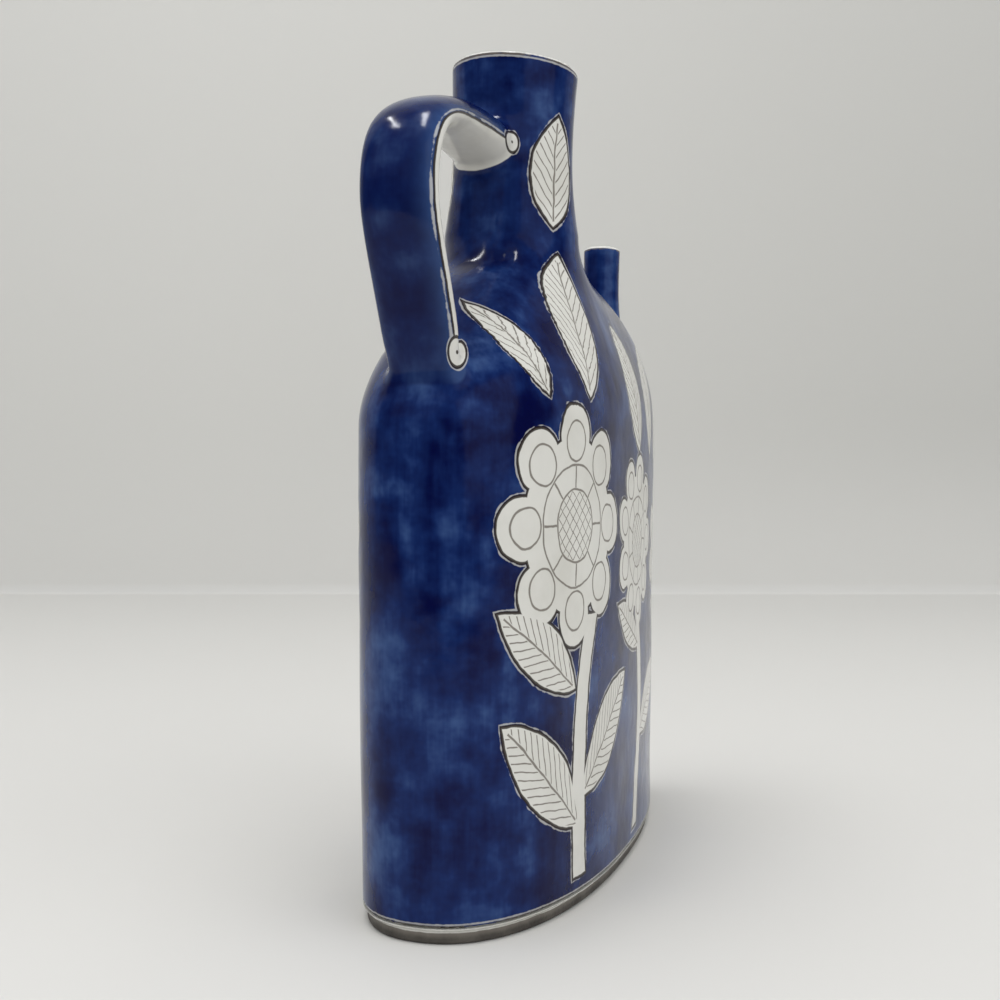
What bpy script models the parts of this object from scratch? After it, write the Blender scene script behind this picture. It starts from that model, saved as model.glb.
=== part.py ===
"""A flattened ceramic pitcher with a main neck, a small second spout and a strap handle.

Clay pieces luted together: base slab, oval wall, shoulder, neck, spout and handle.
Metres, +Z up. +X runs along the body from the handle end to the spout end.
The origin is on the floor, at the middle of the body's length.
"""

import math

import bmesh
import bpy
from mathutils import Vector

# Body wall, measured at the floor
BODY_LENGTH = 0.2600
BODY_THICKNESS = 0.0826
BODY_SQUARENESS = 2.25
SPOUT_END_NARROWING = 0.25
DRAFT_ALONG = 0.0010
DRAFT_ACROSS = 0.0019
WALL = 0.006
WALL_TOP = 0.183
SEAM = 0.0003

# Base slab
BASE_THICKNESS = 0.006
BASE_INSET = 0.0016
BASE_EDGE_ROUNDING = 0.0016

# Shoulder, whose crown and flare are shares of its rise
SHOULDER_RISE = 0.079
CROWN_AT_HANDLE = 0.32
CROWN_AT_SIDES = 0.45
CROWN_AT_SPOUT = 1.0
FLARE_AT_HANDLE = 0.20
FLARE_AT_SIDES = 0.38
FLARE_AT_SPOUT = 0.13

# Main neck, which bends a little towards the front
NECK_OFFSET = -0.0324
NECK_LENGTH = 0.068
NECK_WAIST_RADIUS = 0.0245
NECK_WAIST_DROP = 0.032
NECK_FOOT_FLARE = 0.0030
NECK_LIP_FLARE = 0.0010
NECK_WALL = 0.005
NECK_BEND = math.radians(2.4)

# Second spout
SPOUT_SET_BACK = 0.0375
SPOUT_LENGTH = 0.037
SPOUT_WAIST_RADIUS = 0.0086
SPOUT_WAIST_DROP = 0.016
SPOUT_FOOT_FLARE = 0.0026
SPOUT_LIP_FLARE = 0.0002
SPOUT_ROOT_DEPTH = 0.010
SPOUT_WALL = 0.0035
SPOUT_LEAN = math.radians(4)

# Handle strap, thicker on its underside at the neck
STRAP_WIDTH = 0.0286
STRAP_THICKNESS = 0.012
STRAP_SQUARENESS = 2.2
STRAP_NECK_FLARE = 0.007
STRAP_NECK_SHIFT = 0.0055
STRAP_DROP = 0.0345
STRAP_ARCH = 0.0065
STRAP_RUN = 0.57
STRAP_REACH = 0.0115
STRAP_BEND_DROP = 0.068
STRAP_BEND_SHARE = 0.6
STRAP_FALL = 0.0154
STRAP_ROOT_INSET = 0.0123
STRAP_ROOT_RISE = 0.009
STRAP_ROOT_SWEEP = 0.0064
STRAP_ROOT_FALL = 0.032

# Facets
ROUND_STEPS = 64
WALL_COURSES = 5
CROWN_STEPS = 12
NECK_COURSES = 8
LIP_STEPS = 6
EDGE_STEPS = 3
SPOUT_STEPS = 28
STRAP_STEPS = 30
STRAP_SIDES = 16

COLLAR_TOP = WALL_TOP + SHOULDER_RISE
LIP_TOP = COLLAR_TOP + NECK_LENGTH
HANDLE_END = -BODY_LENGTH / 2
SPOUT_END = BODY_LENGTH / 2


def remove_everything():
    for item in list(bpy.data.objects):
        bpy.data.objects.remove(item, do_unlink=True)


def material(name, colour, roughness):
    mat = bpy.data.materials.new(name)
    mat.use_nodes = True
    shader = mat.node_tree.nodes["Principled BSDF"]
    shader.inputs["Base Color"].default_value = (*colour, 1.0)
    shader.inputs["Roughness"].default_value = roughness
    shader.inputs["Metallic"].default_value = 0.0
    mat.diffuse_color = (*colour, 1.0)
    return mat


def add_object(name, bm, mat=None):
    mesh = bpy.data.meshes.new(name)
    bm.to_mesh(mesh)
    bm.free()
    obj = bpy.data.objects.new(name, mesh)
    bpy.context.scene.collection.objects.link(obj)
    if mat:
        mesh.materials.append(mat)
        mesh.shade_smooth()
        mesh.set_sharp_from_angle(angle=math.radians(40))
    return obj


def add_cutter(name, bm):
    obj = add_object(name, bm)
    obj.hide_render = True
    obj.display_type = "WIRE"
    return obj


def cut(obj, cutter):
    boolean = obj.modifiers.new("cut by " + cutter.name, "BOOLEAN")
    boolean.operation = "DIFFERENCE"
    boolean.object = cutter


def loft(rings, capped):
    """Bridges rings of points: capped into a solid, or closed on itself as a wall."""
    bm = bmesh.new()
    loops = []
    for ring in rings:
        verts = [bm.verts.new(point) for point in ring]
        loops.append([bm.edges.new((a, b)) for a, b in zip(verts, verts[1:] + verts[:1])])
    if capped:
        pairs = zip(loops, loops[1:])
        bmesh.ops.edgeloop_fill(bm, edges=loops[0])
        bmesh.ops.edgeloop_fill(bm, edges=loops[-1])
    else:
        pairs = zip(loops, loops[1:] + loops[:1])
    for low, high in pairs:
        bmesh.ops.bridge_loops(bm, edges=low + high)
    bmesh.ops.recalc_face_normals(bm, faces=bm.faces)
    return bm


def turned(name, profile, steps, mat):
    """A closed profile of (radius, height) points turned round the object's Z axis."""
    bm = bmesh.new()
    verts = [bm.verts.new((radius, 0, height)) for radius, height in profile]
    for a, b in zip(verts, verts[1:] + verts[:1]):
        bm.edges.new((a, b))
    obj = add_object(name, bm, mat)
    screw = obj.modifiers.new("turned", "SCREW")
    screw.steps = steps
    screw.render_steps = steps
    screw.use_merge_vertices = True
    screw.merge_threshold = 0.0001
    screw.use_smooth_shade = True
    return obj


def turns(count):
    return [2 * math.pi * step / count for step in range(count)]


def shares(count):
    return [step / count for step in range(count + 1)]


def squared(value, squareness):
    """A cosine or sine pushed outwards from an ellipse towards a rectangle."""
    return math.copysign(abs(value) ** (2 / squareness), value)


def bezier(start, leave, arrive, end, share):
    left = 1 - share
    first = start * left + leave * (3 * share)
    last = arrive * (3 * left) + end * share
    return first * left**2 + last * share**2


def plan_point(turn, height, inset=0.0):
    """A point of the body's egg-shaped plan, whose walls open slightly upwards."""
    rise = height / WALL_TOP
    half_length = BODY_LENGTH / 2 + DRAFT_ALONG * rise - inset
    half_thickness = BODY_THICKNESS / 2 + DRAFT_ACROSS * rise - inset
    along = squared(math.cos(turn), BODY_SQUARENESS)
    across = squared(math.sin(turn), BODY_SQUARENESS) * (1 - SPOUT_END_NARROWING * along)
    return Vector((half_length * along, half_thickness * across, height))


def outward(point_at, turn, rise):
    """The unit normal of a surface that is given as a function of turn and rise."""
    step = 1e-3
    low, high = max(rise - step, 0), min(rise + step, 1)
    around = point_at(turn + step, rise) - point_at(turn - step, rise)
    upward = point_at(turn, high) - point_at(turn, low)
    return around.cross(upward).normalized()


def ring(point_at, rise, proud=0.0):
    """A ring of a surface, moved outwards by proud."""
    return [
        point_at(turn, rise) + outward(point_at, turn, rise) * proud
        for turn in turns(ROUND_STEPS)
    ]


def wall_between(point_at, courses, thickness):
    """The rings of a wall: up its outer skin and down its inner one."""
    outer = [ring(point_at, rise) for rise in shares(courses)]
    inner = [ring(point_at, rise, -thickness(rise)) for rise in shares(courses)]
    return outer + inner[::-1]


def slab_side(turn, rise):
    return plan_point(turn, BASE_THICKNESS * rise, BASE_INSET)


def wall_side(turn, rise):
    low = BASE_THICKNESS + SEAM
    return plan_point(turn, low + (WALL_TOP - low) * rise)


def by_side(turn, at_handle, at_sides, at_spout):
    """A size that changes smoothly round the plan."""
    along = math.cos(turn)
    end = at_spout if along > 0 else at_handle
    return at_sides + (end - at_sides) * along * along


def shoulder_side(turn, rise):
    """Up from the wall, over the crown and up into the collar."""
    up = Vector((0, 0, SHOULDER_RISE))
    foot = plan_point(turn, WALL_TOP + SEAM)
    radius = NECK_WAIST_RADIUS + NECK_FOOT_FLARE
    along = NECK_OFFSET + radius * math.cos(turn)
    collar = Vector((along, radius * math.sin(turn), COLLAR_TOP))
    crown = up * by_side(turn, CROWN_AT_HANDLE, CROWN_AT_SIDES, CROWN_AT_SPOUT)
    flare = up * by_side(turn, FLARE_AT_HANDLE, FLARE_AT_SIDES, FLARE_AT_SPOUT)
    return bezier(foot, foot + crown, collar - flare, collar, rise)


def shoulder_wall(rise):
    """The shoulder thins from the body's wall to the neck's."""
    return WALL + (NECK_WALL - WALL) * rise


def waisted(share, waist_share, waist, foot_flare, lip_flare):
    """A radius that flares smoothly from its waist to its foot and to its lip."""
    if share < waist_share:
        return waist + foot_flare * (1 - share / waist_share) ** 2
    return waist + lip_flare * ((share - waist_share) / (1 - waist_share)) ** 2


def neck_radius(share):
    waist_share = 1 - NECK_WAIST_DROP / NECK_LENGTH
    return waisted(share, waist_share, NECK_WAIST_RADIUS, NECK_FOOT_FLARE, NECK_LIP_FLARE)


def spout_radius(share):
    waist_share = 1 - SPOUT_WAIST_DROP / (SPOUT_LENGTH + SPOUT_ROOT_DEPTH)
    return waisted(share, waist_share, SPOUT_WAIST_RADIUS, SPOUT_FOOT_FLARE, SPOUT_LIP_FLARE)


def ridge_under_spout():
    """The point of the shoulder's ridge that the spout stands on."""
    low, high = 0.0, 1.0
    for _ in range(30):
        middle = (low + high) / 2
        if shoulder_side(0, middle).x > SPOUT_END - SPOUT_SET_BACK:
            low = middle
        else:
            high = middle
    return shoulder_side(0, low)


def tube_profile(radius_at, low, high, thickness, courses):
    """A tube's closed profile, down its outer side and up its bore, with a round lip."""
    lip = thickness / 2
    top = high - lip
    outer = [(radius_at(share), low + (top - low) * share) for share in shares(courses)]
    bore = [(radius - thickness, height) for radius, height in outer]
    middle = outer[-1][0] - lip
    rounding = []
    for share in shares(LIP_STEPS)[1:-1]:
        angle = math.pi * (1 - share)
        rounding.append((middle + lip * math.cos(angle), top + lip * math.sin(angle)))
    return outer[::-1] + bore + rounding


def base_slab(mat):
    """The flat slab that the wall stands on, with its lower edge sponged round."""
    rings = []
    for share in shares(EDGE_STEPS):
        angle = share * math.pi / 2
        height = BASE_EDGE_ROUNDING * (1 - math.cos(angle))
        inset = BASE_EDGE_ROUNDING * (1 - math.sin(angle))
        rings.append(ring(slab_side, height / BASE_THICKNESS, -inset))
    rings.append(ring(slab_side, 1))
    for point in rings[0]:
        point.z = 0
    return add_object("base_slab", loft(rings, True), mat)


def body_wall(mat):
    rings = wall_between(wall_side, WALL_COURSES, lambda rise: WALL)
    return add_object("body_wall", loft(rings, False), mat)


def shoulder(mat, spout_bore):
    """The domed top, drawn up into a collar for the neck and pierced for the spout."""
    rings = wall_between(shoulder_side, CROWN_STEPS, shoulder_wall)
    obj = add_object("shoulder", loft(rings, False), mat)
    cut(obj, spout_bore)
    return obj


def neck_ring(radius, height):
    """A ring about the neck's middle line, dipping more to the front the higher it is."""
    rise = (height - COLLAR_TOP) / NECK_LENGTH
    dip = NECK_BEND * rise
    points = []
    for turn in turns(ROUND_STEPS):
        along = NECK_OFFSET + radius * math.cos(turn)
        across = radius * math.sin(turn) - dip * rise * NECK_LENGTH / 2
        points.append(Vector((along, across, height + radius * math.sin(turn) * dip)))
    return points


def main_neck(mat):
    profile = tube_profile(neck_radius, COLLAR_TOP + SEAM, LIP_TOP, NECK_WALL, NECK_COURSES)
    rings = [neck_ring(radius, height) for radius, height in profile]
    return add_object("main_neck", loft(rings, False), mat)


def place_on_spout_axis(obj):
    """The spout's foot stands on the ridge, and the spout leans away from the neck."""
    obj.location = ridge_under_spout()
    obj.rotation_euler.y = SPOUT_LEAN


def small_spout(mat, shoulder_space):
    profile = tube_profile(spout_radius, -SPOUT_ROOT_DEPTH, SPOUT_LENGTH, SPOUT_WALL, NECK_COURSES)
    obj = turned("small_spout", profile, SPOUT_STEPS, mat)
    place_on_spout_axis(obj)
    cut(obj, shoulder_space)
    return obj


def strap_middle(share):
    """The strap's middle line: out from the neck, over the bend and down to its root."""
    start = Vector((NECK_OFFSET, STRAP_NECK_SHIFT, LIP_TOP - STRAP_DROP))
    bend = Vector((HANDLE_END - STRAP_REACH, 0, LIP_TOP - STRAP_BEND_DROP))
    root = Vector((HANDLE_END + STRAP_ROOT_INSET, 0, WALL_TOP + STRAP_ROOT_RISE))
    if share < STRAP_BEND_SHARE:
        corner = Vector((bend.x, 0, start.z + STRAP_ARCH))
        leave = start.lerp(corner, STRAP_RUN)
        return bezier(start, leave, corner, bend, share / STRAP_BEND_SHARE)
    leave = bend - Vector((0, 0, STRAP_FALL))
    arrive = root + Vector((-STRAP_ROOT_SWEEP, 0, STRAP_ROOT_FALL))
    return bezier(bend, leave, arrive, root, (share - STRAP_BEND_SHARE) / (1 - STRAP_BEND_SHARE))


def strap_ring(share):
    """A cross-section square to the middle line, with its outer side first."""
    step = 1e-3
    along = strap_middle(min(share + step, 1)) - strap_middle(max(share - step, 0))
    across = Vector((0, 1, 0))
    out_way = across.cross(along).normalized()
    outer = STRAP_THICKNESS / 2
    inner = outer + STRAP_NECK_FLARE * max(0, 1 - share / STRAP_BEND_SHARE) ** 3
    points = []
    for turn in turns(STRAP_SIDES):
        side = squared(math.cos(turn), STRAP_SQUARENESS) * STRAP_WIDTH / 2
        out = squared(math.sin(turn), STRAP_SQUARENESS)
        depth = out * (outer if out > 0 else inner)
        points.append(strap_middle(share) + across * side + out_way * depth)
    return points


def handle_strap(mat, neck_space, shoulder_space):
    rings = [strap_ring(share) for share in shares(STRAP_STEPS)]
    obj = add_object("handle_strap", loft(rings, True), mat)
    cut(obj, neck_space)
    cut(obj, shoulder_space)
    return obj


def shoulder_cutter():
    """The shoulder's outside with a seam's clearance, for what is luted onto it."""
    rings = [ring(shoulder_side, rise, SEAM) for rise in shares(CROWN_STEPS)]
    return add_cutter("shoulder_space", loft(rings, True))


def neck_cutter():
    """The neck's outside with a seam's clearance, for the handle's upper end."""
    rings = [
        neck_ring(neck_radius(share) + SEAM, COLLAR_TOP + NECK_LENGTH * share)
        for share in shares(NECK_COURSES)
    ]
    return add_cutter("neck_space", loft(rings, True))


def spout_bore_cutter():
    bm = bmesh.new()
    bore = SPOUT_WAIST_RADIUS - SPOUT_WALL
    bmesh.ops.create_cone(
        bm, cap_ends=True, segments=SPOUT_STEPS, radius1=bore, radius2=bore, depth=2 * SPOUT_LENGTH
    )
    obj = add_cutter("spout_bore", bm)
    place_on_spout_axis(obj)
    return obj


def main():
    remove_everything()
    foot_clay = material("bare_foot", (0.10, 0.08, 0.06), 0.75)
    blue_glaze = material("cobalt_glaze", (0.012, 0.035, 0.16), 0.12)
    neck_space = neck_cutter()
    shoulder_space = shoulder_cutter()
    base_slab(foot_clay)
    body_wall(blue_glaze)
    shoulder(blue_glaze, spout_bore_cutter())
    main_neck(blue_glaze)
    small_spout(blue_glaze, shoulder_space)
    handle_strap(blue_glaze, neck_space, shoulder_space)


main()
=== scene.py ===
"""The look of a glazed and painted ceramic pitcher: its clay, paint, glaze, light and camera.

Metres, +Z up. +X runs along the body from the handle end to the spout end, -Y is the front.
Distances in the painted pattern are in millimetres on the surface.
"""

import math

import bpy
import numpy as np
from mathutils import Matrix, Vector, noise
from mathutils.bvhtree import BVHTree

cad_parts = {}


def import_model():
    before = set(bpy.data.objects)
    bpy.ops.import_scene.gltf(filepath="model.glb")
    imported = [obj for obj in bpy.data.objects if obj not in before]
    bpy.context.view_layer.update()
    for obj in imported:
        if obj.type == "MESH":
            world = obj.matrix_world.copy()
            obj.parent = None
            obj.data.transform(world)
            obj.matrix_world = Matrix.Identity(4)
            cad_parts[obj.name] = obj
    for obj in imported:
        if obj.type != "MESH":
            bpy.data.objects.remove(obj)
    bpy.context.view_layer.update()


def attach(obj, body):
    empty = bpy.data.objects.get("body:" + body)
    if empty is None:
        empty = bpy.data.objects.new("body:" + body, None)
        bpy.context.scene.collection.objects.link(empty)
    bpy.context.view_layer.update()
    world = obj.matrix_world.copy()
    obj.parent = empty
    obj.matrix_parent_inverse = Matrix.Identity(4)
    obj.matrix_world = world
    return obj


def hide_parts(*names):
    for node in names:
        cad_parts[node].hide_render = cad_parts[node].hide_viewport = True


MM = 0.001

# Body wall, measured at the floor
BODY_LENGTH = 0.2600
BODY_THICKNESS = 0.0826
BODY_SQUARENESS = 2.25
SPOUT_END_NARROWING = 0.25
DRAFT_ALONG = 0.0010
DRAFT_ACROSS = 0.0019
WALL = 0.006
WALL_TOP = 0.183
WALL_EDGE_ROUNDING = 0.0006
SEAM = 0.0003

# Base slab
BASE_THICKNESS = 0.006
BASE_INSET = 0.0016
BASE_EDGE_ROUNDING = 0.0014
BASE_CLAY_HEIGHT = 0.0043

# Shoulder, whose crown and flare are shares of its rise
SHOULDER_RISE = 0.079
CROWN_AT_HANDLE = 0.32
CROWN_AT_SIDES = 0.45
CROWN_AT_SPOUT = 1.0
FLARE_AT_HANDLE = 0.20
FLARE_AT_SIDES = 0.38
FLARE_AT_SPOUT = 0.13

# Main neck, which bends a little towards the front
NECK_OFFSET = -0.0324
NECK_LENGTH = 0.068
NECK_WAIST_RADIUS = 0.0245
NECK_WAIST_DROP = 0.032
NECK_FOOT_FLARE = 0.0030
NECK_LIP_FLARE = 0.0010
NECK_WALL = 0.005
NECK_BEND = math.radians(2.4)
LIP_ROUNDING = 0.0014

# Second spout
SPOUT_SET_BACK = 0.0375
SPOUT_LENGTH = 0.037
SPOUT_WAIST_RADIUS = 0.0086
SPOUT_WAIST_DROP = 0.016
SPOUT_FOOT_FLARE = 0.0026
SPOUT_LIP_FLARE = 0.0002
SPOUT_ROOT_DEPTH = 0.010
SPOUT_WALL = 0.0035
SPOUT_LEAN = math.radians(4)

# Handle strap, thicker on its underside at the neck
STRAP_WIDTH = 0.0286
STRAP_THICKNESS = 0.012
STRAP_SQUARENESS = 2.2
STRAP_NECK_FLARE = 0.007
STRAP_NECK_SHIFT = 0.0055
STRAP_DROP = 0.0345
STRAP_ARCH = 0.0065
STRAP_RUN = 0.57
STRAP_REACH = 0.0115
STRAP_BEND_DROP = 0.068
STRAP_BEND_SHARE = 0.6
STRAP_FALL = 0.0154
STRAP_ROOT_INSET = 0.0123
STRAP_ROOT_RISE = 0.009
STRAP_ROOT_SWEEP = 0.0064
STRAP_ROOT_FALL = 0.032

COLLAR_TOP = WALL_TOP + SHOULDER_RISE
LIP_TOP = COLLAR_TOP + NECK_LENGTH
HANDLE_END = -BODY_LENGTH / 2
SPOUT_END = BODY_LENGTH / 2

# Modelled clay
TURN_STEPS = 288
COURSES = 44
SPOUT_STEPS = 72
STRAP_SIDES = 56
STRAP_STEPS = 90
EDGE_STEPS = 6
RIDGE_STEPS = 2000
ARC_STEPS = 4000
SHARE_STEP = 0.001
CLAY_GRAIN = 0.0015
SLAB_SHARP_EDGE = math.radians(40)

# Smoothing of the clay and of its joints
SMOOTHING_PACE = 0.5
OVERALL_SMOOTHING = 4
FILLET_REACH = 0.0065
FILLET_CORE = 0.3
SPOUT_FILLET_NARROWING = 1.6
DEEPEST = 0.008
FILLET_SMOOTHING = 12
WIDE_FILLET_REACH = 0.015
WIDE_FILLET_SMOOTHING = 85
TOP_FILLET_FROM = 0.302
ROOT_FILLET_TO = 0.215
ROOT_FILLET_SHARE = 0.4
UNEVENNESS = 0.0006
UNEVENNESS_SIZE = 0.055

RIM_LEAN = math.radians(5.2)
RIM_LEAN_HEIGHT = 0.025
RIM_SINK = 0.0008

# Finger marks where the neck joins the shoulder: middle, reach and depth
DENTS = (
    ((-0.0690, 0.0050, 0.2488), (0.012, 0.014, 0.0060), 0.0014),
    ((-0.0650, -0.0090, 0.2500), (0.006, 0.0040, 0.0090), 0.0015),
)

# Photograph's view
CAMERA_PLACE = (-0.5813, -0.2056, 0.1694)
CAMERA_HEADING = math.radians(21.0)
LEVEL_WAY = (math.cos(CAMERA_HEADING), math.sin(CAMERA_HEADING), 0.0)
CAMERA_DIP = math.radians(1.5)
CAMERA_LENS = 51.12
SENSOR_WIDTH = 36.0


def squared(value, squareness):
    """A cosine or sine pushed outwards from an ellipse towards a rectangle."""
    return np.copysign(np.abs(value) ** (2 / squareness), value)


def points(x, y, z):
    return np.stack(np.broadcast_arrays(x, y, z), axis=-1).astype(float)


def bezier(start, leave, arrive, end, share):
    left = 1 - share
    first = start * left + leave * (3 * share)
    last = arrive * (3 * left) + end * share
    return first * left**2 + last * share**2


def turns(count):
    return np.arange(count) * (2 * math.pi / count)


def plan(turn, height, inset=0.0):
    """The body's egg-shaped plan, whose walls open slightly upwards."""
    rise = height / WALL_TOP
    half_length = BODY_LENGTH / 2 + DRAFT_ALONG * rise - inset
    half_thickness = BODY_THICKNESS / 2 + DRAFT_ACROSS * rise - inset
    along = squared(np.cos(turn), BODY_SQUARENESS)
    across = squared(np.sin(turn), BODY_SQUARENESS) * (1 - SPOUT_END_NARROWING * along)
    return points(half_length * along, half_thickness * across, height)


def by_side(turn, at_handle, at_sides, at_spout):
    """A size that changes smoothly round the plan."""
    along = np.cos(turn)
    end = np.where(along > 0, at_spout, at_handle)
    return at_sides + (end - at_sides) * along**2


def wall_side(turn, rise):
    return plan(turn, WALL_TOP * rise)


def shoulder_side(turn, rise):
    """Up from the wall, over the crown and up into the collar."""
    foot = plan(turn, WALL_TOP)
    collar = neck_ring(turn, NECK_WAIST_RADIUS + NECK_FOOT_FLARE, COLLAR_TOP)
    crown = SHOULDER_RISE * by_side(turn, CROWN_AT_HANDLE, CROWN_AT_SIDES, CROWN_AT_SPOUT)
    flare = SHOULDER_RISE * by_side(turn, FLARE_AT_HANDLE, FLARE_AT_SIDES, FLARE_AT_SPOUT)
    return bezier(foot, foot + points(0, 0, crown), collar - points(0, 0, flare), collar, rise)


def neck_ring(turn, radius, height):
    """A ring about the neck's middle line, dipping more to the front the higher it is."""
    rise = (height - COLLAR_TOP) / NECK_LENGTH
    dip = NECK_BEND * rise
    across = radius * np.sin(turn)
    middle = dip * rise * NECK_LENGTH / 2
    return points(NECK_OFFSET + radius * np.cos(turn), across - middle, height + across * dip)


def sunk(surface, turn, rise, depth):
    """A ring of a surface, moved inwards by depth."""
    around = surface(turn + SHARE_STEP, rise) - surface(turn - SHARE_STEP, rise)
    upward = surface(turn, min(rise + SHARE_STEP, 1)) - surface(turn, max(rise - SHARE_STEP, 0))
    normal = np.cross(around, upward)
    normal /= np.linalg.norm(normal, axis=1, keepdims=True)
    return surface(turn, rise) - normal * depth


def waisted(share, waist_share, waist, foot_flare, lip_flare):
    """A radius that flares smoothly from its waist to its foot and to its lip."""
    if share < waist_share:
        return waist + foot_flare * (1 - share / waist_share) ** 2
    return waist + lip_flare * ((share - waist_share) / (1 - waist_share)) ** 2


def neck_radius(share):
    waist_share = 1 - NECK_WAIST_DROP / NECK_LENGTH
    return waisted(share, waist_share, NECK_WAIST_RADIUS, NECK_FOOT_FLARE, NECK_LIP_FLARE)


def spout_radius(share):
    waist_share = 1 - SPOUT_WAIST_DROP / (SPOUT_LENGTH + SPOUT_ROOT_DEPTH)
    return waisted(share, waist_share, SPOUT_WAIST_RADIUS, SPOUT_FOOT_FLARE, SPOUT_LIP_FLARE)


def tube_outside(radius_at, low, high, thickness, inset=0, side=1):
    """(radius, height) points up a tube's outside, to the middle of its lip."""
    top = high - LIP_ROUNDING
    profile = [(radius_at(s) - inset, low + (top - low) * s) for s in np.linspace(0, 1, COURSES)]
    middle = profile[-1][0] - side * LIP_ROUNDING
    for angle in np.linspace(0, math.pi / 2, EDGE_STEPS + 1)[1:]:
        out, up = LIP_ROUNDING * math.cos(angle), LIP_ROUNDING * math.sin(angle)
        profile.append((middle + side * out, top + up))
    return profile + [(radius_at(1) - thickness / 2, high)]


def tube_inside(radius_at, low, high, thickness):
    """(radius, height) points up a tube's bore, to the middle of its lip and on upwards."""
    profile = tube_outside(radius_at, low, high, thickness, inset=thickness, side=-1)
    return profile + [(radius_at(1) - thickness / 2, high + thickness)]


def outside_rings(turn):
    """The body's outside, from the rounded foot of the wall to the lip of the neck."""
    low = BASE_THICKNESS + SEAM
    rings = []
    for angle in np.linspace(0, math.pi / 2, EDGE_STEPS + 1):
        inset = WALL_EDGE_ROUNDING * (1 - math.sin(angle))
        height = low + WALL_EDGE_ROUNDING * (1 - math.cos(angle))
        rings.append(plan(turn, height, inset))
    heights = np.linspace(low + WALL_EDGE_ROUNDING, WALL_TOP, COURSES)[1:]
    rings += [plan(turn, height) for height in heights]
    rings += [shoulder_side(turn, rise) for rise in np.linspace(0, 1, COURSES)[1:]]
    neck = tube_outside(neck_radius, COLLAR_TOP, LIP_TOP, NECK_WALL)[1:]
    rings += [neck_ring(turn, radius, height) for radius, height in neck]
    return np.array(rings)


def inside_rings(turn):
    """The hollow, from below the wall to above the lip."""
    rings = [sunk(wall_side, turn, 0, WALL) - points(0, 0, BASE_THICKNESS)]
    rings += [sunk(wall_side, turn, rise, WALL) for rise in np.linspace(0, 1, COURSES)]
    for rise in np.linspace(0, 1, COURSES)[1:-1]:
        rings.append(sunk(shoulder_side, turn, rise, WALL + (NECK_WALL - WALL) * rise))
    neck = tube_inside(neck_radius, COLLAR_TOP, LIP_TOP, NECK_WALL)
    rings += [neck_ring(turn, radius, height) for radius, height in neck]
    return np.array(rings)


def ridge_under_spout():
    """The point of the shoulder's ridge that the spout stands on."""
    rises = np.linspace(0, 1, RIDGE_STEPS)
    ridge = np.array([shoulder_side(np.zeros(1), rise)[0] for rise in rises])
    return ridge[np.argmin(np.abs(ridge[:, 0] - (SPOUT_END - SPOUT_SET_BACK)))]


def on_spout_axis(rings):
    """Rings about the Z axis, moved to the spout's place and leaned away from the neck."""
    lean, upright = math.sin(SPOUT_LEAN), math.cos(SPOUT_LEAN)
    x, y, z = np.moveaxis(rings, -1, 0)
    return points(x * upright + z * lean, y, z * upright - x * lean) + ridge_under_spout()


def turned_rings(profile, steps):
    turn = turns(steps)
    return np.array([points(r * np.cos(turn), r * np.sin(turn), h) for r, h in profile])


def strap_middle(share):
    """The strap's middle line: out from the neck, over the bend and down to its root."""
    start = np.array((NECK_OFFSET, STRAP_NECK_SHIFT, LIP_TOP - STRAP_DROP))
    bend = np.array((HANDLE_END - STRAP_REACH, 0, LIP_TOP - STRAP_BEND_DROP))
    root = np.array((HANDLE_END + STRAP_ROOT_INSET, 0, WALL_TOP + STRAP_ROOT_RISE))
    if share < STRAP_BEND_SHARE:
        corner = np.array((bend[0], 0, start[2] + STRAP_ARCH))
        leave = start + (corner - start) * STRAP_RUN
        return bezier(start, leave, corner, bend, share / STRAP_BEND_SHARE)
    leave = bend - (0, 0, STRAP_FALL)
    arrive = root + (-STRAP_ROOT_SWEEP, 0, STRAP_ROOT_FALL)
    return bezier(bend, leave, arrive, root, (share - STRAP_BEND_SHARE) / (1 - STRAP_BEND_SHARE))


def strap_ring(share):
    """A cross-section square to the middle line, with its outer side first."""
    along = strap_middle(min(share + SHARE_STEP, 1)) - strap_middle(max(share - SHARE_STEP, 0))
    across = np.array((0.0, 1.0, 0.0))
    out_way = np.cross(across, along)
    out_way /= np.linalg.norm(out_way)
    outer = STRAP_THICKNESS / 2
    inner = outer + STRAP_NECK_FLARE * max(0, 1 - share / STRAP_BEND_SHARE) ** 3
    turn = turns(STRAP_SIDES)
    side = squared(np.cos(turn), STRAP_SQUARENESS) * STRAP_WIDTH / 2
    out = squared(np.sin(turn), STRAP_SQUARENESS)
    depth = out * np.where(out > 0, outer, inner)
    return strap_middle(share) + np.outer(side, across) + np.outer(depth, out_way)


def in_scene(name, data):
    obj = bpy.data.objects.new(name, data)
    bpy.context.scene.collection.objects.link(obj)
    return obj


def lofted(name, rings):
    """A closed solid through rings of points."""
    courses, steps = rings.shape[:2]
    index = np.arange(courses * steps).reshape(courses, steps)
    following = np.roll(index, -1, axis=1)
    quads = np.stack((index[:-1], following[:-1], following[1:], index[1:]), axis=-1)
    faces = quads.reshape(-1, 4).tolist() + [index[0, ::-1].tolist(), index[-1].tolist()]
    mesh = bpy.data.meshes.new(name)
    mesh.from_pydata(rings.reshape(-1, 3).tolist(), [], faces)
    return in_scene(name, mesh)


def combine(obj, other, operation):
    boolean = obj.modifiers.new(other.name, "BOOLEAN")
    boolean.operation = operation
    boolean.object = other
    boolean.solver = "MANIFOLD"


def evaluated_mesh(obj):
    graph = bpy.context.evaluated_depsgraph_get()
    return bpy.data.meshes.new_from_object(obj.evaluated_get(graph))


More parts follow.
